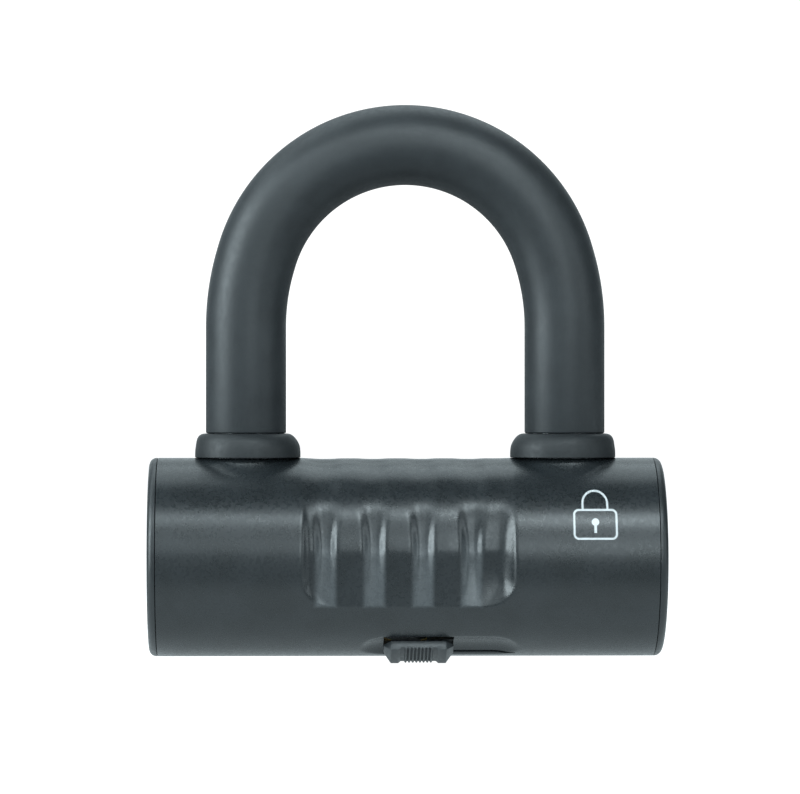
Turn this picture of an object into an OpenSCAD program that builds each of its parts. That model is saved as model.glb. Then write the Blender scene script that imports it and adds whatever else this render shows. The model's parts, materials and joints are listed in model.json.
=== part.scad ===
// Mini U-lock: a coated steel shackle over a round crossbar that holds a
// disc-detainer core and two bolts. Millimetres, +Z up through the shackle, +X
// along the crossbar, origin at the middle of the crossbar's axis.
// The lock is drawn unlocked with the shackle home, and the core faces down and forward.

/* [Crossbar] */
// Outer radius of the moulded cover
bar_r = 22; // [21.5:0.1:23]
// Overall length over the two end caps
bar_len = 113.5; // [112:0.5:120]
// Outer radius of the hardened tube
tube_r = 18.5; // [18.4:0.1:18.7]
// Wall of the hardened tube
tube_wall = 3.5; // [3:0.1:3.6]
// Visible thickness of an end cap
cap_t = 1.9; // [1.8:0.1:2.4]
// Rounding of an end cap's rim
cap_round = 1.7; // [1:0.1:1.8]

/* [Shackle] */
// Distance from the middle of the lock to each leg's axis
leg_x = 35.4; // [35:0.1:36]
// Radius of the hardened core
core_r = 7; // [6.5:0.1:7]
// Radius over the vinyl coat
coat_r = 8.9; // [8.6:0.1:9.2]
// Centre-line radius of the crown
crown_r = 34.4; // [33.8:0.1:34.8]
// Height of the crown's centre over the crossbar's axis
crown_z = 57.1; // [54:0.1:70]
// Depth of each leg's tip below the crossbar's axis
leg_depth = 12.5; // [12:0.1:12.6]

/* [Collars] */
// Outer radius of a rubber collar
collar_r = 11.7; // [11.4:0.1:12]
// Height of a collar's top over the crossbar's axis
collar_top = 27.4; // [26:0.1:28]
// Rounding of a collar's top edge
collar_round = 2.7; // [1:0.1:3]
// Radius of the cover's seat under a collar
seat_r = 12.1; // [12:0.1:12.4]

/* [Grip] */
// Middle of the grip along the crossbar
grip_x = -2; // [-4:0.5:4]
// Distance between two finger grooves
groove_pitch = 10.6; // [10:0.1:11]
// Depth of a finger groove
groove_depth = 2.1; // [1:0.1:2.3]
// Radius of a groove's cross-section
groove_r = 7; // [6:0.1:8]
// Angle of the deepest place above the horizontal
groove_angle = 20; // [10:1:25]
// Angle from the deepest place to either end of a groove
groove_reach = 48; // [40:1:55]

/* [Keyhole cover] */
// Tilt of the keyhole from straight down towards the front
key_tilt = 27; // [20:1:32]
// Middle of the closed keyhole cover along the crossbar
shutter_x = 2.6; // [2:0.1:3]
// Length of the keyhole cover at its base
shutter_len = 15.4; // [15:0.1:15.6]
// Width of the keyhole cover
shutter_w = 8.2; // [7.6:0.1:8.4]
// Height of the keyhole cover's ends over the crossbar's axis
shutter_top = 24.1; // [23.6:0.1:24.4]
// Travel of the keyhole cover
shutter_travel = 13; // [12:0.1:13]
// Depth of the thumb scoop
scoop_depth = 1.3; // [1:0.1:1.4]
// Radius of the thumb scoop's cross-section
scoop_r = 13.5; // [12:0.1:15]

/* [Lock core] */
// Outer radius of the core's housing
housing_r = 9; // [8.8:0.1:9.2]
// Outer radius of the disc barrel
barrel_r = 6.6; // [6.5:0.1:6.8]
// Thickness of a disc
disc_t = 1.1; // [1:0.05:1.15]
// Thickness of a spacer
spacer_t = 0.45; // [0.3:0.05:0.5]
// Distance of the drive pins from the core's axis
drive_offset = 4; // [3.8:0.1:4]
// Radius of a drive pin
drive_pin_r = 1.2; // [1:0.1:1.3]

/* [Bolts] */
// Radius of a locking bolt
bolt_r = 5; // [4.5:0.1:5]
// Thickness of a bolt's arm
arm_t = 3; // [2.5:0.1:3]

/* [Hidden] */
$fn = 96;

past = 1;                 // how far a cutter runs past the solid it cuts
disc_count = 6;           // one node stands for each disc
fit = 0.05;               // radial gap of pieces pressed or slid together
running = 0.1;            // radial gap of a leg in its guide
tube_in = tube_r - tube_wall;
half = bar_len / 2;
cover_half = half - cap_t;
tube_half = cover_half - 2.1;
guide_r = 9.5;            // a leg guide, which also fills the hole in tube and cover
guide_bottom = -11.4;     // a leg guide's foot, just above the tube's floor
coat_end = collar_top + 0.3;
tip_taper = 1.6;          // taper of a leg's tip
plug_x = [47, 50];        // an end plug along the crossbar, before its chamfer
plug_chamfer = 0.7;

// each leg eases into the crown by an arc over an angle with round sine and cosine, and
// a short straight parts the two arcs
ease_sin = 0.28;
ease_cos = 0.96;
short = 1;
ease_r = (leg_x - crown_r * ease_cos - short * ease_sin) / (1 - ease_cos);
ease_x = leg_x - ease_r;
ease_z = crown_z - (ease_r - crown_r) * ease_sin - short * ease_cos;
big = 200;                // size of a block that cuts everything on one side of a plane

// bolts: both throw by the chord that a drive pin covers in a quarter turn
throw = 2 * drive_offset * cos(45);
bolt_tip = leg_x - core_r - 0.4;
bolt_root = housing_r + 0.2;
bolt_guide_x = [16.2, 25.4];
tip_chamfer = 1;
notch_r = bolt_r + 0.5;
notch_x = bolt_tip + throw + 0.6;
slot_gap = 0.25;          // room round a drive pin in its slot

// the core, along its own axis: -Z leads out of the keyhole
front = -18.3;
housing_back = -3.6;
lip_t = 1;
mouth_r = 5.65;           // opening of the housing's lip, which the guard disc fills
clip_r = 7.45;            // groove of the circlip that keeps the barrel in
clip_z = [-5, -4.05];
sidebar_slot = [0.8, 7.6];
pin_x = 7.9;
pin_z = -12;
pin_r = 0.9;
pin_len = 26.5;
barrel_front = front + lip_t + 0.1;
barrel_back = -5.1;
barrel_floor = 1.3;
barrel_in = barrel_r - 1.15;
disc_r = barrel_in - fit;
stack = barrel_front + barrel_floor + fit;
keyway_r = 3.4;
gate_w = 1.7;
sidebar_w = 1.4;
cam_bottom = -3.4;
cam_top = -2;

// the keyhole cover's window, slot and guide channel
window = [shutter_x - shutter_len / 2, shutter_x + shutter_len / 2];
window_w = 9.2;
scoop_floor = bar_r - scoop_depth;
scoop_ends = [-10, 24.5];
stem = [3.1, 4.1];
slot_end = 0.7;           // room past the stem when the keyhole cover is open
channel_end = 5;          // room past the foot
channel_y = 0.6;
channel_floor = -19.75;
shutter_base = 0.4;       // upright edge of the keyhole cover where its slopes begin
shutter_half_top = 6.1;
shutter_rib = 1.7;
shutter_dip = 0.5;
foot_x = [2, 12];         // the foot from the keyhole cover's middle
foot_y = 0.9;
foot_z = [-18.8, -19.6];
stem_len = 7;

module tilted() {
    rotate([-key_tilt, 0, 0]) children();
}

// a cylinder along X from x = from to x = to
module rod_x(r, from, to) {
    translate([from, 0, 0]) rotate([0, 90, 0]) cylinder(r = r, h = to - from);
}

// a cylinder along Z from z = from to z = to
module rod_z(r, from, to) {
    translate([0, 0, from]) cylinder(r = r, h = to - from);
}

module at_leg(side) {
    translate([side * leg_x, 0, 0]) children();
}

// a block between two corners
module block(low, high) {
    translate(low) cube(high - low);
}

// a ring in the plane of the shackle
module ring(centre_x, centre_z, ring_r, section_r) {
    translate([centre_x, 0, centre_z])
        rotate([90, 0, 0])
            rotate_extrude()
                translate([ring_r, 0])
                    circle(r = section_r);
}

// turns its children about a point of the shackle's plane by the easing angle
module eased(centre_x, centre_z) {
    translate([centre_x, 0, centre_z])
        rotate([0, -asin(ease_sin), 0])
            children();
}

module crown(r) {
    difference() {
        ring(0, crown_z, crown_r, r);
        for (flip = [0, 1])
            mirror([flip, 0, 0])
                eased(0, crown_z)
                    block([-big, -big, -big], [big, big, 0]);
    }
}

// the right leg down to leg_end, with its easing arc
module leg(r, leg_end) {
    eased(0, crown_z)
        translate([crown_r, 0, 0])
            rod_z(r, -short, 0);
    difference() {
        ring(ease_x, ease_z, ease_r, r);
        block([-big, -big, -big], [big, big, ease_z]);
        eased(ease_x, ease_z)
            block([-big, -big, 0], [big, big, big]);
    }
    at_leg(1) rod_z(r, leg_end, ease_z);
}

// the shackle's bar at one radius, with its legs down to leg_end
module shackle_bar(r, leg_end) {
    crown(r);
    for (flip = [0, 1])
        mirror([flip, 0, 0]) leg(r, leg_end);
}

module shackle_core() {
    color("silver") difference() {
        union() {
            shackle_bar(core_r, tip_taper - leg_depth);
            for (side = [-1, 1])
                at_leg(side)
                    translate([0, 0, -leg_depth])
                        cylinder(r1 = core_r - tip_taper, r2 = core_r, h = tip_taper);
        }
        for (side = [-1, 1])
            mirror([side < 0 ? 1 : 0, 0, 0])
                rod_x(notch_r, bolt_tip - past, notch_x);
    }
}

module shackle_coat() {
    color("#2b2f31") difference() {
        shackle_bar(coat_r, coat_end);
        shackle_bar(core_r + fit, coat_end - past);
    }
}

module crossbar_tube() {
    color("dimgray") difference() {
        rod_x(tube_r, -tube_half, tube_half);
        rod_x(tube_in, -tube_half - past, tube_half + past);
        for (side = [-1, 1])
            at_leg(side) rod_z(guide_r + running, 0, bar_r);
        tilted() {
            rod_z(housing_r + running, -bar_r, 0);
            pin_places() retaining_pin(pin_r + fit, 2 * bar_r);
        }
    }
}

// one finger groove as a ring set off from the crossbar's axis, so that it fades at both ends
module groove(x, side) {
    lift = groove_depth / (1 - cos(groove_reach));
    ring_r = bar_r + lift * cos(groove_reach) + groove_r;
    translate([x, side * lift * cos(groove_angle), -lift * sin(groove_angle)])
        rotate([0, 90, 0])
            rotate_extrude()
                translate([ring_r, 0])
                    circle(r = groove_r);
}

// a long shallow dip with round ends, turned about a line under the crossbar
module scoop() {
    reach = sqrt(pow(scoop_r, 2) - pow(scoop_r - scoop_depth, 2));
    ends = scoop_ends + [reach, -reach];
    translate([0, 0, -scoop_floor - scoop_r])
        rotate([0, 90, 0])
            rotate_extrude()
                intersection() {
                    union() {
                        translate([0, ends[0]]) square([scoop_r, ends[1] - ends[0]]);
                        for (y = ends)
                            translate([0, y]) circle(r = scoop_r);
                    }
                    translate([0, -big]) square([big, 2 * big]);
                }
}

// the window over the keyhole, the stem's slot and the foot's channel under it
module shutter_openings() {
    slot_w = 0.15;
    block([window[0], -window_w / 2, -bar_r - past], [window[1], window_w / 2, -tube_in]);
    block([window[0], stem[0] - slot_w, -bar_r - past],
        [window[1] + shutter_travel + slot_end, stem[1] + slot_w, -tube_r]);
    block([window[0], channel_y, channel_floor],
        [window[1] + shutter_travel + channel_end, stem[1] + slot_w, -tube_in]);
}

module crossbar_cover() {
    color("#262a2c") difference() {
        union() {
            rod_x(bar_r, -cover_half, cover_half);
            for (side = [-1, 1])
                at_leg(side) rod_z(seat_r, 10, bar_r);
        }
        rod_x(tube_r + fit, -cover_half - past, cover_half + past);
        for (side = [-1, 1])
            at_leg(side) rod_z(guide_r + running, 0, bar_r + past);
        for (i = [-1.5, -0.5, 0.5, 1.5])
            for (side = [-1, 1])
                groove(grip_x + i * groove_pitch, side);
        tilted() {
            scoop();
            shutter_openings();
            rod_z(housing_r + running, front - running, 0);
        }
    }
}

// a cap drawn on the right end
module end_cap() {
    color("#1f2224") {
        rotate([0, 90, 0]) rotate_extrude() {
            translate([0, cover_half + fit]) square([bar_r - cap_round, cap_t - fit]);
            translate([0, cover_half + fit]) square([bar_r, cap_t - fit - cap_round]);
            translate([bar_r - cap_round, half - cap_round])
                intersection() {
                    circle(r = cap_round);
                    square(cap_round);
                }
            translate([0, tube_half + fit])
                square([tube_r - running, cover_half - tube_half]);
            translate([0, tube_half - 1.6]) square([tube_in - fit, 1.8]);
        }
    }
}

module left_end_cap() {
    mirror([1, 0, 0]) end_cap();
}

module right_end_cap() {
    end_cap();
}

// a hardened disc pressed in the right end of the tube
module end_plug() {
    color("silver") {
        rod_x(tube_in - fit, plug_x[0], plug_x[1]);
        translate([plug_x[1], 0, 0])
            rotate([0, 90, 0])
                cylinder(r1 = tube_in - fit, r2 = tube_in - fit - plug_chamfer, h = plug_chamfer);
    }
}

module left_end_plug() {
    mirror([1, 0, 0]) end_plug();
}

module right_end_plug() {
    end_plug();
}

module collar() {
    bore_r = core_r + 0.25;
    height = collar_top - bar_r - fit;
    color("#2a2d2f")
        translate([0, 0, bar_r + fit])
            rotate_extrude() {
                translate([bore_r, 0])
                    square([collar_r - collar_round - bore_r, height]);
                translate([bore_r, 0])
                    square([collar_r - bore_r, height - collar_round]);
                translate([collar_r - collar_round, height - collar_round])
                    intersection() {
                        circle(r = collar_round);
                        square(collar_round);
                    }
            }
}

module left_collar() {
    at_leg(-1) collar();
}

module right_collar() {
    at_leg(1) collar();
}

// the socket of one leg, with a window for its bolt towards the middle
module leg_guide(side) {
    color("gray") difference() {
        at_leg(side) rod_z(guide_r, guide_bottom, bar_r);
        at_leg(side) rod_z(core_r + running, guide_bottom - past, bar_r + past);
        mirror([side < 0 ? 1 : 0, 0, 0])
            rod_x(bolt_r + 0.4, leg_x - guide_r - past, leg_x);
    }
}

module left_leg_guide() {
    leg_guide(-1);
}

module right_leg_guide() {
    leg_guide(1);
}

module bolt_guide() {
    color("gray") difference() {
        rod_x(tube_in - fit, bolt_guide_x[0], bolt_guide_x[1]);
        rod_x(bolt_r + running, bolt_guide_x[0] - past, bolt_guide_x[1] + past);
    }
}

module left_bolt_guide() {
    mirror([1, 0, 0]) bolt_guide();
}

module right_bolt_guide() {
    bolt_guide();
}

// places of the two pins that hold the housing in the tube
module pin_places() {
    for (x = [-pin_x, pin_x])
        translate([x, 0, pin_z]) children();
}

module retaining_pin(r, length) {
    rotate([90, 0, 0]) cylinder(r = r, h = length, center = true);
}

module retaining_pins() {
    color("silver") tilted() pin_places() retaining_pin(pin_r, pin_len);
}

module core_housing() {
    color("goldenrod") tilted() difference() {
        rod_z(housing_r, front, housing_back);
        rod_z(barrel_r + fit, front + lip_t, past);
        rod_z(mouth_r, front - past, 0);
        rod_z(clip_r, clip_z[0], clip_z[1]);
        block([-sidebar_slot[0], 0, front + lip_t], [sidebar_slot[0], sidebar_slot[1], 0]);
        pin_places() retaining_pin(pin_r + fit, 2 * bar_r);
    }
}

module barrel_circlip() {
    color("silver") tilted() difference() {
        rod_z(clip_r - fit, clip_z[0] + fit, clip_z[1] - fit);
        rod_z(5.6, clip_z[0] - past, clip_z[1] + past);
        block([-1.6, -clip_r, clip_z[0] - past], [1.6, -3, clip_z[1] + past]);
    }
}

// the half-round passage of the key
module keyway(from, to) {
    intersection() {
        rod_z(keyway_r, from, to);
        block([-keyway_r, -keyway_r, from], [keyway_r, 0.9, to]);
    }
}

module gate(from, to) {
    block([-gate_w / 2, 4.3, from], [gate_w / 2, barrel_r + past, to]);
}

module disc_barrel() {
    color("goldenrod") tilted() difference() {
        rod_z(barrel_r, barrel_front, barrel_back);
        rod_z(barrel_in, barrel_front + barrel_floor, barrel_back + past);
        keyway(barrel_front - past, barrel_back);
        gate(barrel_front + barrel_floor, barrel_back + past);
    }
}

module guard_disc() {
    color("silver") tilted() difference() {
        rod_z(mouth_r - running, front + 0.1, barrel_front - 0.02);
        keyway(front - past, barrel_front + past);
    }
}

// the place of disc or spacer number i in the stack
function disc_z(i) = stack + i * (disc_t + spacer_t);

module disc(i) {
    color("peru") tilted() difference() {
        rod_z(disc_r, disc_z(i), disc_z(i) + disc_t - 0.02);
        keyway(disc_z(i) - past, disc_z(i) + disc_t + past);
        gate(disc_z(i) - past, disc_z(i) + disc_t + past);
        // false gate that a pick would find first
        rotate([0, 0, 60 + 35 * i])
            block([-0.5, 4.9, disc_z(i) - past], [0.5, barrel_r, disc_z(i) + disc_t + past]);
    }
}

module disc_1() {
    disc(0);
}

module disc_2() {
    disc(1);
}

module disc_3() {
    disc(2);
}

module disc_4() {
    disc(3);
}

module disc_5() {
    disc(4);
}

module disc_6() {
    disc(5);
}

module disc_spacers() {
    color("silver") tilted()
        for (i = [0:disc_count - 1])
            difference() {
                rod_z(disc_r, disc_z(i) + disc_t, disc_z(i + 1) - 0.02);
                rod_z(keyway_r + 0.4, disc_z(i), disc_z(i + 1));
                gate(disc_z(i), disc_z(i + 1));
            }
}

module sidebar() {
    color("silver") tilted()
        block([-sidebar_w / 2, 4.5, stack + 0.1],
            [sidebar_w / 2, barrel_r - 0.15, disc_z(disc_count) - 0.2]);
}

// the tail of the barrel, whose two pins drive the bolts
module drive_cam() {
    color("silver") tilted() {
        rod_z(barrel_in - fit, disc_z(disc_count) + 0.02, barrel_back);
        rod_z(5.2, barrel_back, cam_bottom);
        rod_z(6.4, cam_bottom, cam_top);
        for (angle = [45, -135])
            rotate([0, 0, angle])
                translate([drive_offset, 0, 0])
                    rod_z(drive_pin_r, cam_top, arm_t / 2 - 0.2);
    }
}

// the bolt that is thrown to the right, with its arm on the front side of the core's axis
module bolt() {
    inner = drive_offset * cos(45);
    slot_x = -inner;
    slot_half = drive_pin_r + slot_gap;
    slot_y = [-drive_offset - slot_half, slot_half - inner];
    rod_x(bolt_r, bolt_root, bolt_tip - tip_chamfer);
    translate([bolt_tip - tip_chamfer, 0, 0])
        rotate([0, 90, 0])
            cylinder(r1 = bolt_r, r2 = bolt_r - tip_chamfer, h = tip_chamfer);
    difference() {
        block([slot_x - slot_half - 1.5, -7, -arm_t / 2], [bolt_root + past, -0.5, arm_t / 2]);
        block([slot_x - slot_half, slot_y[0], -arm_t], [slot_x + slot_half, slot_y[1], arm_t]);
    }
}

module right_bolt() {
    color("silver") tilted() bolt();
}

module left_bolt() {
    color("silver") tilted() rotate([0, 0, 180]) bolt();
}

// side outline of the keyhole cover, with a raised rib at each end of its top
module shutter_side() {
    base = shutter_len / 2;
    slope = bar_r + shutter_base;
    top = shutter_half_top;
    rib = top - shutter_rib;
    dip = shutter_dip;
    polygon([[-base, -bar_r], [-base, -slope], [-top, -shutter_top], [-rib, -shutter_top],
        [dip - rib, dip - shutter_top], [rib - dip, dip - shutter_top], [rib, -shutter_top],
        [top, -shutter_top], [base, -slope], [base, -bar_r]]);
}

module keyhole_shutter() {
    color("#303436") tilted() {
        translate([shutter_x, shutter_w / 2, 0])
            rotate([90, 0, 0])
                linear_extrude(height = shutter_w)
                    shutter_side();
        block([shutter_x, stem[0], -bar_r - shutter_base],
            [shutter_x + stem_len, stem[1], foot_z[0]]);
        block([shutter_x + foot_x[0], foot_y, foot_z[1]],
            [shutter_x + foot_x[1], stem[1], foot_z[0]]);
    }
}

shackle_core();
shackle_coat();
crossbar_tube();
crossbar_cover();
left_end_cap();
right_end_cap();
left_end_plug();
right_end_plug();
left_collar();
right_collar();
left_leg_guide();
right_leg_guide();
left_bolt_guide();
right_bolt_guide();
core_housing();
barrel_circlip();
retaining_pins();
disc_barrel();
guard_disc();
disc_1();
disc_2();
disc_3();
disc_4();
disc_5();
disc_6();
disc_spacers();
sidebar();
drive_cam();
left_bolt();
right_bolt();
keyhole_shutter();
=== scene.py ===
import math
import bmesh
import bpy
from mathutils import Matrix, Vector
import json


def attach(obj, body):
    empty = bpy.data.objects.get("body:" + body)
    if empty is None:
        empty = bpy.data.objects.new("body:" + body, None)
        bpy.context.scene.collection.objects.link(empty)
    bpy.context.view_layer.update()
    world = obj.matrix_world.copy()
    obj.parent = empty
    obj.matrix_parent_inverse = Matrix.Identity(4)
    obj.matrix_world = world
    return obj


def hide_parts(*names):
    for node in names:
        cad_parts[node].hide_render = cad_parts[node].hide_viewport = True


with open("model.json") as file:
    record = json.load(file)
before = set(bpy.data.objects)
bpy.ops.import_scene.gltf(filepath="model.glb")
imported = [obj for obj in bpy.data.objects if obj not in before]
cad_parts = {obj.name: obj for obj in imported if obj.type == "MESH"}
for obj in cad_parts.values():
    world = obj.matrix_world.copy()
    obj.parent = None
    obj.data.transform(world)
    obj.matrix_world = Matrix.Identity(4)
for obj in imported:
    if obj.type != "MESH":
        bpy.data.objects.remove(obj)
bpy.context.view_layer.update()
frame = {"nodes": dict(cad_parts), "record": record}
scene = bpy.context.scene

# The studio: a pale table in a white room, with soft lamps over the front, on both sides and
# above the back. The camera stands level with the middle of the lock, nearly straight in front.
scene.view_settings.view_transform = "Standard"
camera_turn = math.radians(-1.5)
camera_target = Vector((-0.0012, 0, 0.0355))
camera_distance = 0.9
view_width = 0.1778
table_top = -0.0241
table_half = 6

camera_data = bpy.data.cameras.new("camera")
camera_data.sensor_width = 36
camera_data.lens = camera_data.sensor_width * camera_distance / view_width
camera_data.clip_end = 50
camera = bpy.data.objects.new("camera", camera_data)
camera_side = Vector((math.sin(camera_turn), -math.cos(camera_turn), 0))
camera.location = camera_target + camera_side * camera_distance
camera.rotation_euler = (math.radians(90), 0, camera_turn)
scene.collection.objects.link(camera)
scene.camera = camera


class Wire:
    """A socket of a material or of the room, which can be used in a sum like a number."""

    def __init__(self, tree, socket=None):
        self.tree = tree
        self.socket = socket

    def node(self, kind, output=0, settings=None, inputs=None):
        made = self.tree.nodes.new(kind)
        for name, value in (settings or {}).items():
            setattr(made, name, value)
        for name, value in (inputs or {}).items():
            if isinstance(value, Wire):
                self.tree.links.new(value.socket, made.inputs[name])
            else:
                made.inputs[name].default_value = value
        return Wire(self.tree, made.outputs[output] if made.outputs else None)

    def math(self, operation, *values):
        return self.node("ShaderNodeMath", settings={"operation": operation},
                         inputs=dict(enumerate(values)))

    def __add__(self, other):
        return self.math("ADD", self, other)

    def __sub__(self, other):
        return self.math("SUBTRACT", self, other)

    def __rsub__(self, other):
        return self.math("SUBTRACT", other, self)

    def __mul__(self, other):
        return self.math("MULTIPLY", self, other)

    def __abs__(self):
        return self.math("ABSOLUTE", self)

    __radd__ = __add__
    __rmul__ = __mul__


def soften(value, low, high, start=0.0, end=1.0):
    """start below low, end above high, and a smooth change between them."""
    return value.node("ShaderNodeMapRange", settings={"interpolation_type": "SMOOTHSTEP"},
                      inputs={0: value, 1: low, 2: high, 3: start, 4: end})


def mixed(share, first, second):
    """The first colour where share is 0, the second where it is 1."""
    return share.node("ShaderNodeMix", output=2, settings={"data_type": "RGBA"},
                      inputs={0: share, 6: first, 7: second})


def own_place(wire):
    """The point in the piece's own space, in metres."""
    return wire.node("ShaderNodeTexCoord", output=3)


def along(wire, axis):
    """One coordinate of that point: axis is 0, 1 or 2."""
    return wire.node("ShaderNodeSeparateXYZ", output=axis, inputs={0: own_place(wire)})


room = bpy.data.worlds.new("white_room")
room.use_nodes = True
room.node_tree.nodes.clear()
scene.world = room
room_wire = Wire(room.node_tree)
lamp_tint = (0.82, 0.955, 1, 1)
pure_white = (1, 1, 1, 1)
wall_seen = 1.2
table_seen = 0.97
seen = room_wire.node("ShaderNodeLightPath")
back_wall = room_wire.node("ShaderNodeSeparateXYZ", output=1, inputs={
    0: room_wire.node("ShaderNodeTexCoord")})
glow = soften(back_wall, 0.55, 0.9, 0.13, 0.95)
room_light = room_wire.node("ShaderNodeBackground", inputs={
    "Color": mixed(seen, lamp_tint, pure_white), "Strength": glow + seen * (wall_seen - glow)})
room_wire.node("ShaderNodeOutputWorld", inputs={"Surface": room_light})


def softbox(name, width, height, place, aim, watts):
    """A soft rectangular lamp at a place, turned towards a point."""
    lamp = bpy.data.lights.new(name, "AREA")
    lamp.shape = "RECTANGLE"
    lamp.size = width
    lamp.size_y = height
    lamp.energy = watts
    lamp.color = lamp_tint[:3]
    holder = bpy.data.objects.new(name, lamp)
    holder.location = place
    holder.rotation_euler = (Vector(aim) - Vector(place)).to_track_quat("-Z", "Y").to_euler()
    holder.visible_camera = False
    scene.collection.objects.link(holder)


bar_middle = (0, 0, 0.02)
softbox("front_light", 1.1, 0.17, (-0.1, -0.62, 0.66), bar_middle, 4.0)
softbox("front_right_light", 0.5, 0.17, (0.3, -0.6, 0.64), bar_middle, 2.0)
softbox("front_fill", 2.0, 0.7, (0, -1.35, 0.52), bar_middle, 6.8)
softbox("right_fill", 0.6, 0.42, (0.36, -1.3, 0.27), bar_middle, 3.0)
softbox("left_light", 0.5, 0.7, (-0.85, -0.3, 0.3), bar_middle, 11)
softbox("right_light", 0.3, 0.5, (0.8, -0.45, 0.2), bar_middle, 1.4)
softbox("top_light", 2.0, 0.8, (-0.2, 0.45, 1.1), bar_middle, 9)

table_mesh = bmesh.new()
bmesh.ops.create_grid(table_mesh, x_segments=1, y_segments=1, size=table_half)
bmesh.ops.translate(table_mesh, vec=(0, 0, table_top), verts=table_mesh.verts)
table_data = bpy.data.meshes.new("table")
table_mesh.to_mesh(table_data)
table_mesh.free()
table = bpy.data.objects.new("table", table_data)
scene.collection.objects.link(table)
paint = bpy.data.materials.new("table_paint")
paint.use_nodes = True
paint.node_tree.nodes.clear()
paint_wire = Wire(paint.node_tree)
mottle = paint_wire.node("ShaderNodeTexNoise", inputs={
    "Vector": own_place(paint_wire), "Scale": 9.0, "Detail": 4.0})
near_lock = soften(abs(along(paint_wire, 1)), 0.035, 0.075, 0.75, 0.0)
paint_glow = mixed(near_lock, (0, 0, 0, 1), lamp_tint)
paint_skin = paint_wire.node("ShaderNodeBsdfPrincipled", inputs={
    "Base Color": mixed(mottle, (0.28, 0.285, 0.29, 1), (0.3, 0.3, 0.3, 1)), "Roughness": 0.8,
    "Specular IOR Level": 0.2, "Emission Strength": 1.0,
    "Emission Color": mixed(paint_wire.node("ShaderNodeLightPath"), paint_glow,
                            (table_seen, table_seen, table_seen, 1))})
paint_wire.node("ShaderNodeOutputMaterial", inputs={"Surface": paint_skin})
table_data.materials.append(paint)


# The shackle's coat: a soft vinyl sleeve shrunk over the whole bend, with a satin skin, faint
# mottling and a few specks of dust. It ends square just above each collar.
coat_r = 8.9
coat_bore = 7.03
coat_foot = 27.45
leg_x = 35.4
crown_r = 34.4
crown_z = 57.1
lean_across = 0.28
lean_up = 0.96
lean = math.asin(lean_across)
lean_straight = 1.0
ease_r = (leg_x - crown_r * lean_up - lean_straight * lean_across) / (1 - lean_up)
ease_z = crown_z - (ease_r - crown_r) * lean_across - lean_straight * lean_up
ease_steps = 14
crown_steps = 110
round_steps = 72
coat_rim = 0.35
weld = 0.0005
sharp_angle = math.radians(35)


def finished(name, bm, material):
    """Turns a mesh in millimetres into an object in metres, smooth but for its creases."""
    bmesh.ops.remove_doubles(bm, verts=bm.verts, dist=weld)
    bmesh.ops.recalc_face_normals(bm, faces=bm.faces)
    bmesh.ops.scale(bm, vec=(0.001, 0.001, 0.001), verts=bm.verts)
    for face in bm.faces:
        face.smooth = True
    mesh = bpy.data.meshes.new(name)
    bm.to_mesh(mesh)
    bm.free()
    mesh.set_sharp_from_angle(angle=sharp_angle)
    mesh.materials.append(material)
    made = bpy.data.objects.new(name, mesh)
    scene.collection.objects.link(made)
    return made


def pulled(bm, ring, step):
    """Extrudes rings of edges by a vector and returns the new rings."""
    new = bmesh.ops.extrude_edge_only(bm, edges=ring)["geom"]
    bmesh.ops.translate(bm, vec=step, verts=[e for e in new if isinstance(e, bmesh.types.BMVert)])
    return [e for e in new if isinstance(e, bmesh.types.BMEdge)]


def swung(bm, ring, centre_x, centre_z, angle, steps):
    """Bends rings of edges round a centre in the shackle's plane and returns the new rings."""
    verts = list({v for e in ring for v in e.verts})
    last = bmesh.ops.spin(bm, geom=verts + ring, cent=(centre_x, 0, centre_z), axis=(0, -1, 0),
                          angle=angle, steps=steps, use_merge=False)["geom_last"]
    return [e for e in last if isinstance(e, bmesh.types.BMEdge)]


def bent_bar(radii, foot):
    """The shackle's bend at one or two radii, from the foot of its right leg to the left."""
    bm = bmesh.new()
    for radius in radii:
        bmesh.ops.create_circle(bm, segments=round_steps, radius=radius)
    bmesh.ops.translate(bm, vec=(leg_x, 0, foot), verts=bm.verts)
    start = list(bm.edges)
    rise = ease_z - foot
    slant = Vector((-lean_across, 0, lean_up)) * lean_straight
    ring = pulled(bm, start, (0, 0, rise))
    ring = swung(bm, ring, leg_x - ease_r, ease_z, lean, ease_steps)
    ring = pulled(bm, ring, slant)
    ring = swung(bm, ring, 0, crown_z, math.pi - 2 * lean, crown_steps)
    ring = pulled(bm, ring, (slant.x, 0, -slant.z))
    ring = swung(bm, ring, ease_r - leg_x, ease_z, lean, ease_steps)
    ring = pulled(bm, ring, (0, 0, -rise))
    return bm, start, ring


def new_material(name):
    """An empty material and the wire that its nodes start from."""
    material = bpy.data.materials.new(name)
    material.use_nodes = True
    material.node_tree.nodes.clear()
    return material, Wire(material.node_tree)


def grain(wire, scale, detail=3.0, stretch=(1, 1, 1)):
    """Fine noise in the piece's own space, in lumps of about 1 / scale metres."""
    place = wire.node("ShaderNodeMapping", inputs={"Vector": own_place(wire), "Scale": stretch})
    return wire.node("ShaderNodeTexNoise", inputs={
        "Vector": place, "Scale": float(scale), "Detail": detail, "Roughness": 0.6})


def bump(wire, height, distance, strength):
    """A fine relief from a pattern, a distance in metres deep, for a surface's Normal."""
    return wire.node("ShaderNodeBump", inputs={
        "Strength": strength, "Distance": distance, "Height": height})


def dust(wire, scale, share):
    """A mask of tiny round specks, in a small share of the cells of a pattern."""
    cells = {"Vector": own_place(wire), "Scale": float(scale)}
    middle = wire.node("ShaderNodeTexVoronoi", inputs=cells)
    pick = wire.node("ShaderNodeTexVoronoi", output=1, inputs=cells)
    chosen = pick.math("GREATER_THAN", pick, 1 - share)
    return chosen * soften(middle, 0.05, 0.11, 1.0, 0.0)


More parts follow.
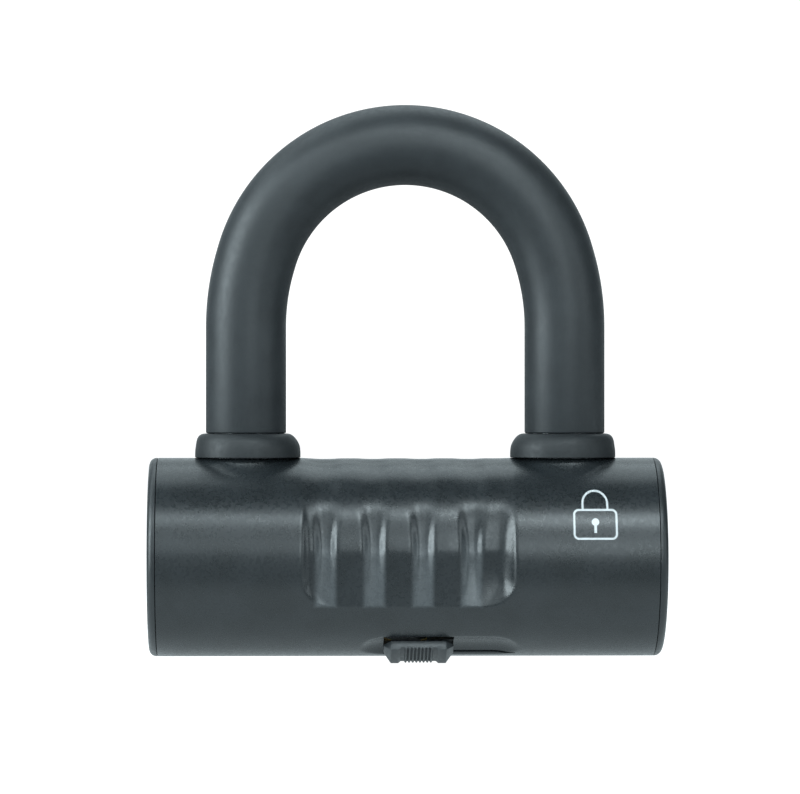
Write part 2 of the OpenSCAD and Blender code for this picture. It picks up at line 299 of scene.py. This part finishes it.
def skin(wire, constants, links):
    """A principled surface with its fixed values and its varying inputs."""
    surface = wire.node("ShaderNodeBsdfPrincipled", inputs={**constants, **links})
    wire.node("ShaderNodeOutputMaterial", inputs={"Surface": surface})


vinyl_dark = (0.0105, 0.0130, 0.0150, 1)
vinyl_light = (0.0155, 0.0185, 0.0210, 1)
dust_tone = (0.55, 0.57, 0.58, 1)
vinyl, wire = new_material("black_vinyl")
leather = grain(wire, 2600, detail=5.0)
specks = dust(wire, 420, 0.012)
vinyl_tone = mixed(soften(grain(wire, 160), 0.3, 0.7), vinyl_dark, vinyl_light)
skin(wire, {"Specular IOR Level": 0.5}, {
    "Base Color": mixed(specks, vinyl_tone, dust_tone),
    "Roughness": 0.44 + 0.08 * soften(grain(wire, 900), 0.35, 0.65) + 0.3 * specks,
    "Normal": bump(wire, leather, 0.00004, 0.35)})

bm, start, ring = bent_bar((coat_r, coat_bore), coat_foot)
bmesh.ops.bridge_loops(bm, edges=start)
bmesh.ops.bridge_loops(bm, edges=ring)


def on_rim(vert):
    """Whether a point lies on the outer edge of the coat's foot."""
    off_leg = Vector((abs(vert.co.x) - leg_x, vert.co.y)).length
    return abs(vert.co.z - coat_foot) < 0.01 and abs(off_leg - coat_r) < 0.01


rims = [e for e in bm.edges if e.is_manifold and all(on_rim(v) for v in e.verts)]
bmesh.ops.bevel(bm, geom=rims, offset=coat_rim, segments=3, profile=0.5, affect="EDGES",
                material=-1)
coat = finished("vinyl_coat", bm, vinyl)
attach(coat, "shackle")
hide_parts("shackle_coat")

# The shackle's core: a hardened, ground steel bar under the coat. Its bare legs have tapered
# tips and one round notch each, which the bolts enter.
core_r = 7.0
tip = -12.5
tip_taper = 1.6
notch_r = 5.5
notch_from = 20
notch_end = 34.257

steel_dark = (0.50, 0.51, 0.52, 1)
steel_light = (0.62, 0.625, 0.63, 1)
ground_steel, wire = new_material("ground_steel")
lines = grain(wire, 1500, stretch=(1, 1, 0.12))
skin(wire, {"Metallic": 1.0}, {
    "Base Color": mixed(soften(grain(wire, 90), 0.3, 0.7), steel_dark, steel_light),
    "Roughness": 0.24 + 0.14 * lines, "Normal": bump(wire, lines, 0.00002, 0.4)})


def lathe(profile, steps=96):
    """A closed outline of (radius, height) points turned round the Z axis."""
    bm = bmesh.new()
    points = [bm.verts.new((radius, 0, height)) for radius, height in profile]
    for first, second in zip(points, points[1:] + points[:1]):
        bm.edges.new((first, second))
    bmesh.ops.spin(bm, geom=list(bm.verts) + list(bm.edges), cent=(0, 0, 0), axis=(0, 0, 1),
                   angle=2 * math.pi, steps=steps, use_merge=True)
    bmesh.ops.remove_doubles(bm, verts=bm.verts, dist=weld)
    bmesh.ops.dissolve_degenerate(bm, edges=bm.edges, dist=0.8 * weld)
    empty = [f for f in bm.faces if f.calc_area() < 1e-7]
    bmesh.ops.delete(bm, geom=empty, context="FACES_ONLY")
    bmesh.ops.recalc_face_normals(bm, faces=bm.faces)
    return bm


def rod(radius, low, high):
    """A plain round bar along Z between two heights."""
    return lathe([(0, low), (radius, low), (radius, high), (0, high)])


def softened_edges(bm, offset, segments, angle, keep=lambda edge: True):
    """Rounds every edge that is sharper than an angle and that keep() picks."""
    sharp = [e for e in bm.edges
             if e.is_manifold and e.calc_face_angle(0) > math.radians(angle) and keep(e)]
    bmesh.ops.bevel(bm, geom=sharp, offset=offset, segments=segments, profile=0.5,
                    affect="EDGES", material=-1, clamp_overlap=True)


def along_x(bm, side):
    """Turns a mesh made along Z so that its top points along +X, or -X if side is -1."""
    bmesh.ops.rotate(bm, verts=bm.verts, cent=(0, 0, 0),
                     matrix=Matrix.Rotation(math.pi / 2, 3, "Y"))
    if side < 0:
        bmesh.ops.rotate(bm, verts=bm.verts, matrix=Matrix.Rotation(math.pi, 3, "Z"))
    return bm


def tool(bm):
    """A cutting shape in metres, which carved() uses up."""
    return finished("tool", bm, ground_steel)


def carved(made, *tools):
    """Cuts shapes out of an object for good."""
    for cutter in tools:
        cut = made.modifiers.new("cut", "BOOLEAN")
        cut.operation = "DIFFERENCE"
        cut.solver = "EXACT"
        cut.object = cutter
    ready = made.evaluated_get(bpy.context.evaluated_depsgraph_get())
    mesh = bpy.data.meshes.new_from_object(ready)
    made.modifiers.clear()
    made.data = mesh
    for cutter in tools:
        bpy.data.objects.remove(cutter)
    mesh.set_sharp_from_angle(angle=sharp_angle)


bm, start, ring = bent_bar((core_r,), tip + tip_taper)
for rim in (start, ring):
    face = bmesh.ops.contextual_create(bm, geom=rim)["faces"][0]
    outward = bmesh.ops.extrude_discrete_faces(bm, faces=[face])["faces"][0]
    bmesh.ops.translate(bm, vec=(0, 0, -tip_taper), verts=outward.verts)
    narrowed = (core_r - tip_taper) / core_r
    bmesh.ops.scale(bm, vec=(narrowed, narrowed, 1), verts=outward.verts,
                    space=Matrix.Translation(-outward.calc_center_median()))
    bmesh.ops.bridge_loops(bm, edges=rim + list(outward.edges))
core = finished("steel_core", bm, ground_steel)
carved(core, *(tool(along_x(rod(notch_r, notch_from, notch_end), side)) for side in (-1, 1)))
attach(core, "shackle")
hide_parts("shackle_core")

# The crossbar's cover: a satin black moulded sleeve pushed over the tube. Four scooped grooves
# lie between flat pads on the front and the back, a round seat rises under each collar, and a
# thumb scoop leads to the window of the keyhole. A small white mark is printed on its front.
bar_r = 22.0
cover_half = 54.85
cover_bore = 18.55
seat_r = 10.0
seat_slope = 0.35
seat_soft = 2.4
seat_edge = 0.7
seat_side = 1.2
key_tilt = math.radians(27)
grip_x = (-23.0, 23.5)
grip_low = -10.3
grip_corner = 6.0
end_slope = (2.2, 3.6)
end_deeper = 0.85
end_deeper_x = (8, 20)
end_deeper_z = (6, 16)
crease_z = 1.5
crease_in = 1.3
crease_soft = 0.2
crease_range = (-1.0, 4.0)
top_in = 0.25
top_z = 18
top_fade = 0.6
top_fade_z = (21.4, 21.98)
groove_x = (-17.9, -7.3, 3.3, 13.9)
groove_half = 2.9
groove_floor = 0.2
groove_deep = 1.35
groove_deep_z = 3.2
groove_wider = 0.35
groove_wider_z = 14
wave_deep = 0.35
wave_z = 15
scoop_r = 13.5
scoop_depth = 1.3
scoop_soft = 0.25
scoop_side = 0.5
scoop_x = (-10.0, 24.5)
window_x = (-5.1, 10.3)
window_half_w = 4.6
slot_x = 24.0
slot_y = (3.3, 3.95)
guide_hole_r = 9.6
guide_hole_z = (5, 30)
window_z = (-25, -12)
slot_z = (-25, -15)
mark_place = (40.8, 10.2)
line_half = 0.22

satin_dark = (0.0100, 0.0125, 0.0140, 1)
satin_light = (0.0145, 0.0175, 0.0195, 1)
groove_highlight_tone = (0.060, 0.066, 0.070, 1)
print_tone = (0.62, 0.64, 0.65, 1)
satin, wire = new_material("satin_black")
spot_x, spot_y, spot_z = (along(wire, axis) * 1000 for axis in range(3))
mark_x = spot_x - mark_place[0]
mark_z = spot_z - mark_place[1]


def either(first, second):
    """The greater of two values: both masks together."""
    return first.math("MAXIMUM", first, second)


def both(first, second):
    """The smaller of two values: where two masks meet."""
    return first.math("MINIMUM", first, second)


def above(value, edge, fade):
    """A mask that is full from a little over an edge."""
    return soften(value, edge, edge + fade)


def below(value, edge, fade):
    """A mask that is full up to an edge."""
    return soften(value, edge, edge + fade, 1.0, 0.0)


def stroke(distance):
    """A printed line where a distance in millimetres is near zero."""
    return below(abs(distance), line_half - 0.06, 0.12)


def length(first, second):
    """The distance from a centre, from the offsets along two axes."""
    return first.math("SQRT", first * first + second * second)


def rounded_box(x, z, half_x, half_z, corner):
    """Signed distance to a rectangle with round corners."""
    over_x = abs(x) - (half_x - corner)
    over_z = abs(z) - (half_z - corner)
    outside = length(either(over_x, 0.0), either(over_z, 0.0))
    return outside + both(either(over_x, over_z), 0.0) - corner


lock_body = stroke(rounded_box(mark_x, mark_z + 2.4, 4.6, 3.1, 1.0))
bow = both(stroke(length(mark_x, mark_z - 2.1) - 2.7), above(mark_z, 2.05, 0.1))
bow_legs = both(stroke(abs(mark_x) - 2.7), both(above(mark_z, 0.65, 0.1), below(mark_z, 2.1, 0.1)))
hole = below(length(mark_x, mark_z + 1.9), 0.75, 0.12)
hole_foot = both(below(abs(mark_x), 0.25, 0.1),
                 both(above(mark_z, -4.3, 0.1), below(mark_z, -1.9, 0.1)))
print_mask = either(either(lock_body, bow), either(bow_legs, either(hole, hole_foot)))
print_mask = both(print_mask, below(spot_y, -2.0, 1.0)) * 0.82

pores = grain(wire, 3400, detail=4.0)
specks = dust(wire, 380, 0.01)
satin_tone = mixed(soften(grain(wire, 120), 0.3, 0.7), satin_dark, satin_light)
# The floors of the four grooves, low on the front and back, are painted a lighter grey that stands
# in for the highlight they catch from the lamps: a painted highlight, broken up by noise.
floor_mask, *other_floors = [below(abs(spot_x - middle), 1.5, 1.4) for middle in groove_x]
for floor in other_floors:
    floor_mask = either(floor_mask, floor)
floor_mask = both(floor_mask, both(above(spot_z, -10.6, 1.0), below(spot_z, 1.0, 7.0)))
floor_highlight = floor_mask * soften(grain(wire, 700), 0.2, 0.7, 0.75, 1.0)
satin_tone = mixed(floor_highlight, satin_tone, groove_highlight_tone)
skin(wire, {"Specular IOR Level": 0.5}, {
    "Base Color": mixed(either(print_mask, specks * 0.8), satin_tone, print_tone),
    "Roughness": 0.25 + 0.08 * soften(grain(wire, 1100), 0.35, 0.65) + 0.25 * specks,
    "Normal": bump(wire, pores, 0.00003, 0.5)})


def smooth_min(first, second, reach):
    """The smaller of two values, rounded where they cross."""
    blend = max(reach - abs(first - second), 0) / reach
    return min(first, second) - blend * blend * reach / 4


def smooth_max(first, second, reach):
    """The greater of two values, rounded where they cross."""
    return -smooth_min(-first, -second, reach)


def step(value, low, high):
    """0 below low, 1 above high, and a smooth change between them."""
    share = min(max((value - low) / (high - low), 0), 1)
    return share * share * (3 - 2 * share)


def facet(low, high):
    """Tilt and distance of the plane through two points (outward, up) of the bar's section."""
    tilt = math.atan2(low[0] - high[0], high[1] - low[1])
    return tilt, low[0] * math.cos(tilt) + low[1] * math.sin(tilt)


def on_bar(z):
    """The point of the bar's section at a height."""
    return (math.sqrt(bar_r ** 2 - z ** 2), z)


pad_crease = (on_bar(crease_z)[0] - crease_in, crease_z)
pad_tilt, pad_distance = facet(on_bar(grip_low), pad_crease)
crease_deep = bar_r - math.hypot(*pad_crease)


def seat_radius(x, turn):
    """The cover's radius where a collar's round seat rises; turn is measured from the top."""
    off = abs(abs(x) - leg_x)
    if off >= seat_r + seat_soft or abs(turn) > seat_side:
        return bar_r
    top = bar_r / math.cos(turn)
    foot = seat_r + seat_slope * bar_r
    rate = seat_slope * math.cos(turn)
    slant = math.sqrt((foot ** 2 - off ** 2) * math.sin(turn) ** 2 + (off * rate) ** 2)
    wall = (foot ** 2 - off ** 2) / (foot * rate + slant)
    return max(bar_r, smooth_min(top, smooth_max(bar_r, wall, seat_soft), seat_edge))


def groove_depth(x, z):
    """How deep the four grooves are at a point, below the pads between them."""
    rise = (z - grip_low) / (groove_deep_z - grip_low)
    if rise < 1:
        deep = groove_deep * min(rise * 1.05, 1) * step(rise, -0.1, 0.08)
        half = groove_half
    else:
        deep = groove_deep + (wave_deep - groove_deep) * step(z, groove_deep_z, wave_z)
        half = groove_half * (1 + groove_wider * step(z, groove_deep_z, groove_wider_z))
    return sum(deep * (1 - step(abs(x - middle) / half, groove_floor, 1)) for middle in groove_x)


def grip_radius(x, lift):
    """The cover's radius in the grip; lift is the angle above the horizontal."""
    z = bar_r * math.sin(lift)
    drop = max(grip_corner - (z - grip_low), 0) / grip_corner
    pull = grip_corner * (1 - math.sqrt(max(1 - drop * drop, 0)))
    inward = min((x - grip_x[0] - pull) / end_slope[0], (grip_x[1] - pull - x) / end_slope[1])
    if inward <= 0 or z < grip_low:
        return bar_r
    depth = crease_deep + (top_in - crease_deep) * step(z, crease_z, top_z)
    if z < crease_range[1]:
        flat = bar_r - pad_distance / math.cos(lift - pad_tilt)
        depth = smooth_max(flat, depth, crease_soft) if z > crease_range[0] else flat
    depth *= 1 + end_deeper * step(x, *end_deeper_x) * (1 - step(z, *end_deeper_z))
    depth += groove_depth(x, z)
    depth *= math.sin(min(inward, 1) * math.pi / 2)
    return bar_r - depth * (1 - top_fade * step(z, *top_fade_z))


def scoop_radius(x, off):
    """The cover's radius in the thumb scoop; off is the angle from the keyhole's direction."""
    reach = math.sqrt(scoop_r ** 2 - (scoop_r - scoop_depth) ** 2)
    over = max(scoop_x[0] + reach - x, x - scoop_x[1] + reach, 0)
    centre = bar_r - scoop_depth + scoop_r
    under = scoop_r ** 2 - over ** 2 - (centre * math.sin(off)) ** 2
    if abs(off) > scoop_side or under <= 0:
        return bar_r
    return smooth_min(bar_r, centre * math.cos(off) - math.sqrt(under), scoop_soft)


# Along the bar, each stretch has its start and its number of steps, and round it from the top,
# each turn has its angle and its number of steps. They are fine where the shape changes.
stretches = ((-cover_half, 6), (-48, 42), (-24.1, 118), (24.1, 40), (48, 6), (cover_half, 0))
turns = ((24, 14), (18, 34), (76, 76), (18, 10), (36, 36), (70, 30), (76, 76), (18, 34), (24, 14))
bm = bmesh.new()
first = vert = bm.verts.new((-cover_half, 0, bar_r))
for (low, parts), (high, _) in zip(stretches, stretches[1:]):
    for _ in range(parts):
        vert = bmesh.ops.extrude_vert_indiv(bm, verts=[vert])["verts"][0]
        vert.co.x += (high - low) / parts
for x in (cover_half, -cover_half):
    vert = bmesh.ops.extrude_vert_indiv(bm, verts=[vert])["verts"][0]
    vert.co = (x, 0, cover_bore)
bm.edges.new((vert, first))
turned = list(bm.verts) + list(bm.edges)
for degrees, steps in turns:
    turned = bmesh.ops.spin(bm, geom=turned, cent=(0, 0, 0), axis=(1, 0, 0),
                            angle=math.radians(degrees), steps=steps)["geom_last"]
bmesh.ops.remove_doubles(bm, verts=bm.verts, dist=0.001)
for vert in bm.verts:
    x, y, z = vert.co
    if math.hypot(y, z) < bar_r - 1:
        continue
    radius = min(grip_radius(x, math.atan2(z, abs(y))), bar_r)
    radius += seat_radius(x, math.atan2(y, z)) - bar_r
    turn = math.atan2(-y * math.cos(key_tilt) + z * math.sin(key_tilt),
                      -z * math.cos(key_tilt) - y * math.sin(key_tilt))
    radius += scoop_radius(x, turn) - bar_r
    vert.co.y = y / bar_r * radius
    vert.co.z = z / bar_r * radius


def tilted(bm):
    """Turns a mesh made straight under the bar to the keyhole's direction."""
    bmesh.ops.rotate(bm, verts=bm.verts, cent=(0, 0, 0), matrix=Matrix.Rotation(-key_tilt, 3, "X"))
    return bm


def block(low, high):
    """A box between two corners."""
    bm = bmesh.new()
    bmesh.ops.create_cube(bm, size=1)
    size = Vector(high) - Vector(low)
    bmesh.ops.scale(bm, vec=size, verts=bm.verts)
    bmesh.ops.translate(bm, vec=Vector(low) + size / 2, verts=bm.verts)
    return bm


def guide_hole(side):
    """The hole in the cover's top for one leg and its guide."""
    hole = rod(guide_hole_r, *guide_hole_z)
    bmesh.ops.translate(hole, vec=(side * leg_x, 0, 0), verts=hole.verts)
    return hole


cover = finished("moulded_cover", bm, satin)
window = block((window_x[0], -window_half_w, window_z[0]), (window_x[1], window_half_w, window_z[1]))
slot = block((window_x[1] - 1, slot_y[0], slot_z[0]), (slot_x, slot_y[1], slot_z[1]))
carved(cover, tool(guide_hole(-1)), tool(guide_hole(1)), tool(tilted(window)), tool(tilted(slot)))
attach(cover, "crossbar")
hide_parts("crossbar_cover")

# The end caps: moulded from the cover's plastic and pushed into the tube's ends. Each has a
# round rim, a fine parting line against the cover and a shallow dish.
cap_end = 56.75
cap_round = 1.55
cap_parting = 0.12
cap_plug = (51.3, 14.8)
cap_shoulder = (52.85, 18.3)
dish_r = 15.5
dish_in = 0.5
dish_slope = 1.2
dish_round = 0.35

cap_dark = (0.0090, 0.0112, 0.0126, 1)
cap_light = (0.0130, 0.0158, 0.0176, 1)
cap_plastic, wire = new_material("cap_plastic")
pores = grain(wire, 3000, detail=4.0)
skin(wire, {"Specular IOR Level": 0.5}, {
    "Base Color": mixed(grain(wire, 140), cap_dark, cap_light),
    "Roughness": 0.34 + 0.1 * soften(grain(wire, 1000), 0.35, 0.65),
    "Normal": bump(wire, pores, 0.00003, 0.35)})


def near_end(edge, outer):
    """Whether an edge lies on the cap's outer rim, or if not outer, on its dish."""
    if outer:
        return all(v.co.z > cap_end - 0.01 and v.co.xy.length > bar_r - 0.01 for v in edge.verts)
    return all(v.co.z > cap_end - 0.6 and v.co.xy.length < dish_r + 0.1 for v in edge.verts)


foot = cover_half + cap_parting
cap_profile = [
    (0, cap_plug[0]), (cap_plug[1], cap_plug[0]), (cap_plug[1], cap_shoulder[0]),
    (cap_shoulder[1], cap_shoulder[0]), (cap_shoulder[1], foot), (bar_r - cap_parting, foot),
    (bar_r, foot + cap_parting), (bar_r, cap_end), (dish_r, cap_end),
    (dish_r - dish_slope, cap_end - dish_in), (0, cap_end - dish_in)]
for side, name in ((-1, "left"), (1, "right")):
    bm = lathe(cap_profile, 128)
    softened_edges(bm, cap_round, 8, 60, lambda edge: near_end(edge, True))
    softened_edges(bm, dish_round, 3, 20, lambda edge: near_end(edge, False))
    cap = finished(name + "_moulded_cap", along_x(bm, side), cap_plastic)
    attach(cap, "crossbar")
    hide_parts(name + "_end_cap")

# The collars: soft black rubber rings round the feet of the legs. They are domed outside and
# stand on the cover's seats.
collar_r = 11.7
collar_low = 22.05
collar_top = 27.4
collar_bore = 7.25
collar_lean = 0.4
collar_lip = 0.9
collar_gap = 0.06
collar_chamfer = 0.15
throat_chamfer = (0.3, 0.02)
dome_parts = 12
dome_turn = math.radians(87.6)
dome_power = 0.8

rubber_dark = (0.0090, 0.0108, 0.0122, 1)
rubber_light = (0.0135, 0.0158, 0.0176, 1)
rubber, wire = new_material("black_rubber")
pores = grain(wire, 2400, detail=5.0)
skin(wire, {"Specular IOR Level": 0.42}, {
    "Base Color": mixed(grain(wire, 200), rubber_dark, rubber_light),
    "Roughness": 0.5 + 0.1 * soften(grain(wire, 800), 0.35, 0.65),
    "Normal": bump(wire, pores, 0.00005, 0.35)})

throat = coat_r + collar_gap
for side, name in ((-1, "left"), (1, "right")):
    dome = [(collar_bore, collar_low), (collar_r - collar_chamfer, collar_low),
            (collar_r, collar_low + collar_chamfer)]
    for i in range(dome_parts + 1):
        turn = dome_turn * i / dome_parts
        dome.append((throat + (collar_r - throat) * math.cos(turn) ** dome_power,
                     collar_low + collar_lip
                     + (collar_top - collar_low - collar_lip) * math.sin(turn)))
    dome += [(collar_bore + throat_chamfer[0], collar_top - throat_chamfer[1]),
             (collar_bore, collar_top - throat_chamfer[0])]
    bm = lathe(dome, 112)
    for vert in bm.verts:
        if vert.co.xy.length > collar_bore + 0.1:
            vert.co.x -= side * collar_lean * step(collar_top - vert.co.z, 0, 3)
    bmesh.ops.translate(bm, vec=(side * leg_x, 0, 0), verts=bm.verts)
    collar = finished(name + "_rubber_collar", bm, rubber)
    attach(collar, "crossbar")
    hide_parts(name + "_collar")

# The keyhole shutter: a small moulded slide with sloped ends, a raised rib at each end of its
# top and fine ribs between them for the thumb. A thin stem and a foot hold it in its slot.
shutter_len = 15.4
shutter_w = 7.6
plan_corner = (6.0, 1.2)
shutter_top = 24.1
slope_from = 22.4
flat_half = 6.1
end_rib = 1.7
dip = 0.5
rib_pitch = 0.8
rib_count = 8
rib_under = 0.12
rib_round = 0.12
shutter_middle = 2.6
stem = ((0, 3.42, -slope_from), (7, 3.83, -18.8))
stem_foot = ((2, 0.9, -19.6), (12, 4.1, -18.8))

shutter_dark = (0.0130, 0.0155, 0.0172, 1)
shutter_light = (0.0185, 0.0215, 0.0235, 1)
shutter_plastic, wire = new_material("shutter_plastic")
pores = grain(wire, 3600, detail=4.0)
skin(wire, {"Specular IOR Level": 0.5}, {
    "Base Color": mixed(grain(wire, 260), shutter_dark, shutter_light),
    "Roughness": 0.36 + 0.1 * soften(grain(wire, 1200), 0.35, 0.65),
    "Normal": bump(wire, pores, 0.00003, 0.35)})

base = shutter_len / 2
dip_floor = dip - shutter_top
rib_top = rib_under - shutter_top
outline = [(-base, -bar_r), (-base, -slope_from), (-flat_half, -shutter_top),
           (end_rib - flat_half, -shutter_top), (end_rib + dip - flat_half, dip_floor)]
for i in range(rib_count):
    rib_x = (i - rib_count / 2) * rib_pitch
    outline += [(rib_x + 0.1, dip_floor), (rib_x + 0.25, rib_top),
                (rib_x + 0.55, rib_top), (rib_x + 0.7, dip_floor)]
outline += [(flat_half - end_rib - dip, dip_floor), (flat_half - end_rib, -shutter_top),
            (flat_half, -shutter_top), (base, -slope_from), (base, -bar_r)]
bm = bmesh.new()
side_face = bm.faces.new([bm.verts.new((x, -shutter_w / 2, z)) for x, z in outline])
swept = bmesh.ops.extrude_face_region(bm, geom=[side_face])["geom"]
bmesh.ops.translate(bm, vec=(0, shutter_w, 0),
                    verts=[v for v in swept if isinstance(v, bmesh.types.BMVert)])
bmesh.ops.recalc_face_normals(bm, faces=bm.faces)
for side in (-1, 1):
    for front in (-1, 1):
        bmesh.ops.bisect_plane(bm, geom=list(bm.verts) + list(bm.edges) + list(bm.faces),
                               plane_co=(side * plan_corner[0], front * shutter_w / 2, 0),
                               plane_no=(side * plan_corner[1], front, 0), clear_outer=True)
        bmesh.ops.holes_fill(bm, edges=[e for e in bm.edges if e.is_boundary], sides=0)
softened_edges(bm, rib_round, 2, 20)
for corners in (stem, stem_foot):
    part = block(*corners)
    data = bpy.data.meshes.new("part")
    part.to_mesh(data)
    part.free()
    bm.from_mesh(data)
    bpy.data.meshes.remove(data)
bmesh.ops.translate(bm, vec=(shutter_middle, 0, 0), verts=bm.verts)
shutter = finished("thumb_shutter", tilted(bm), shutter_plastic)
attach(shutter, "shutter")
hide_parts("keyhole_shutter")

# The steel inside: the tube, plugs, guides, bolts and small hard pieces stay as drawn and get
# their finishes, blackened on the tube and guides, ground on the rest, and brass on the core.
blackened_dark = (0.10, 0.105, 0.11, 1)
blackened_light = (0.17, 0.172, 0.178, 1)
brass_dark = (0.58, 0.40, 0.16, 1)
brass_light = (0.70, 0.51, 0.24, 1)

black_steel, wire = new_material("black_steel")
lines = grain(wire, 1200, stretch=(0.2, 1, 1))
skin(wire, {"Metallic": 1.0}, {
    "Base Color": mixed(grain(wire, 130), blackened_dark, blackened_light),
    "Roughness": 0.36 + 0.16 * lines, "Normal": bump(wire, lines, 0.00003, 0.4)})

brass, wire = new_material("turned_brass")
lines = grain(wire, 1400, stretch=(1, 1, 0.3))
skin(wire, {"Metallic": 1.0}, {
    "Base Color": mixed(grain(wire, 150), brass_dark, brass_light),
    "Roughness": 0.26 + 0.14 * lines, "Normal": bump(wire, lines, 0.00002, 0.4)})

finishes = {"steel": ground_steel, "dark_steel": black_steel, "brass": brass, "vinyl": vinyl,
            "cover": satin, "cap": cap_plastic, "rubber": rubber, "shutter": shutter_plastic}
for part in frame["record"]["subparts"]:
    mesh = frame["nodes"][part["node"]].data
    mesh.materials.clear()
    mesh.materials.append(finishes[part["material_slot"]])
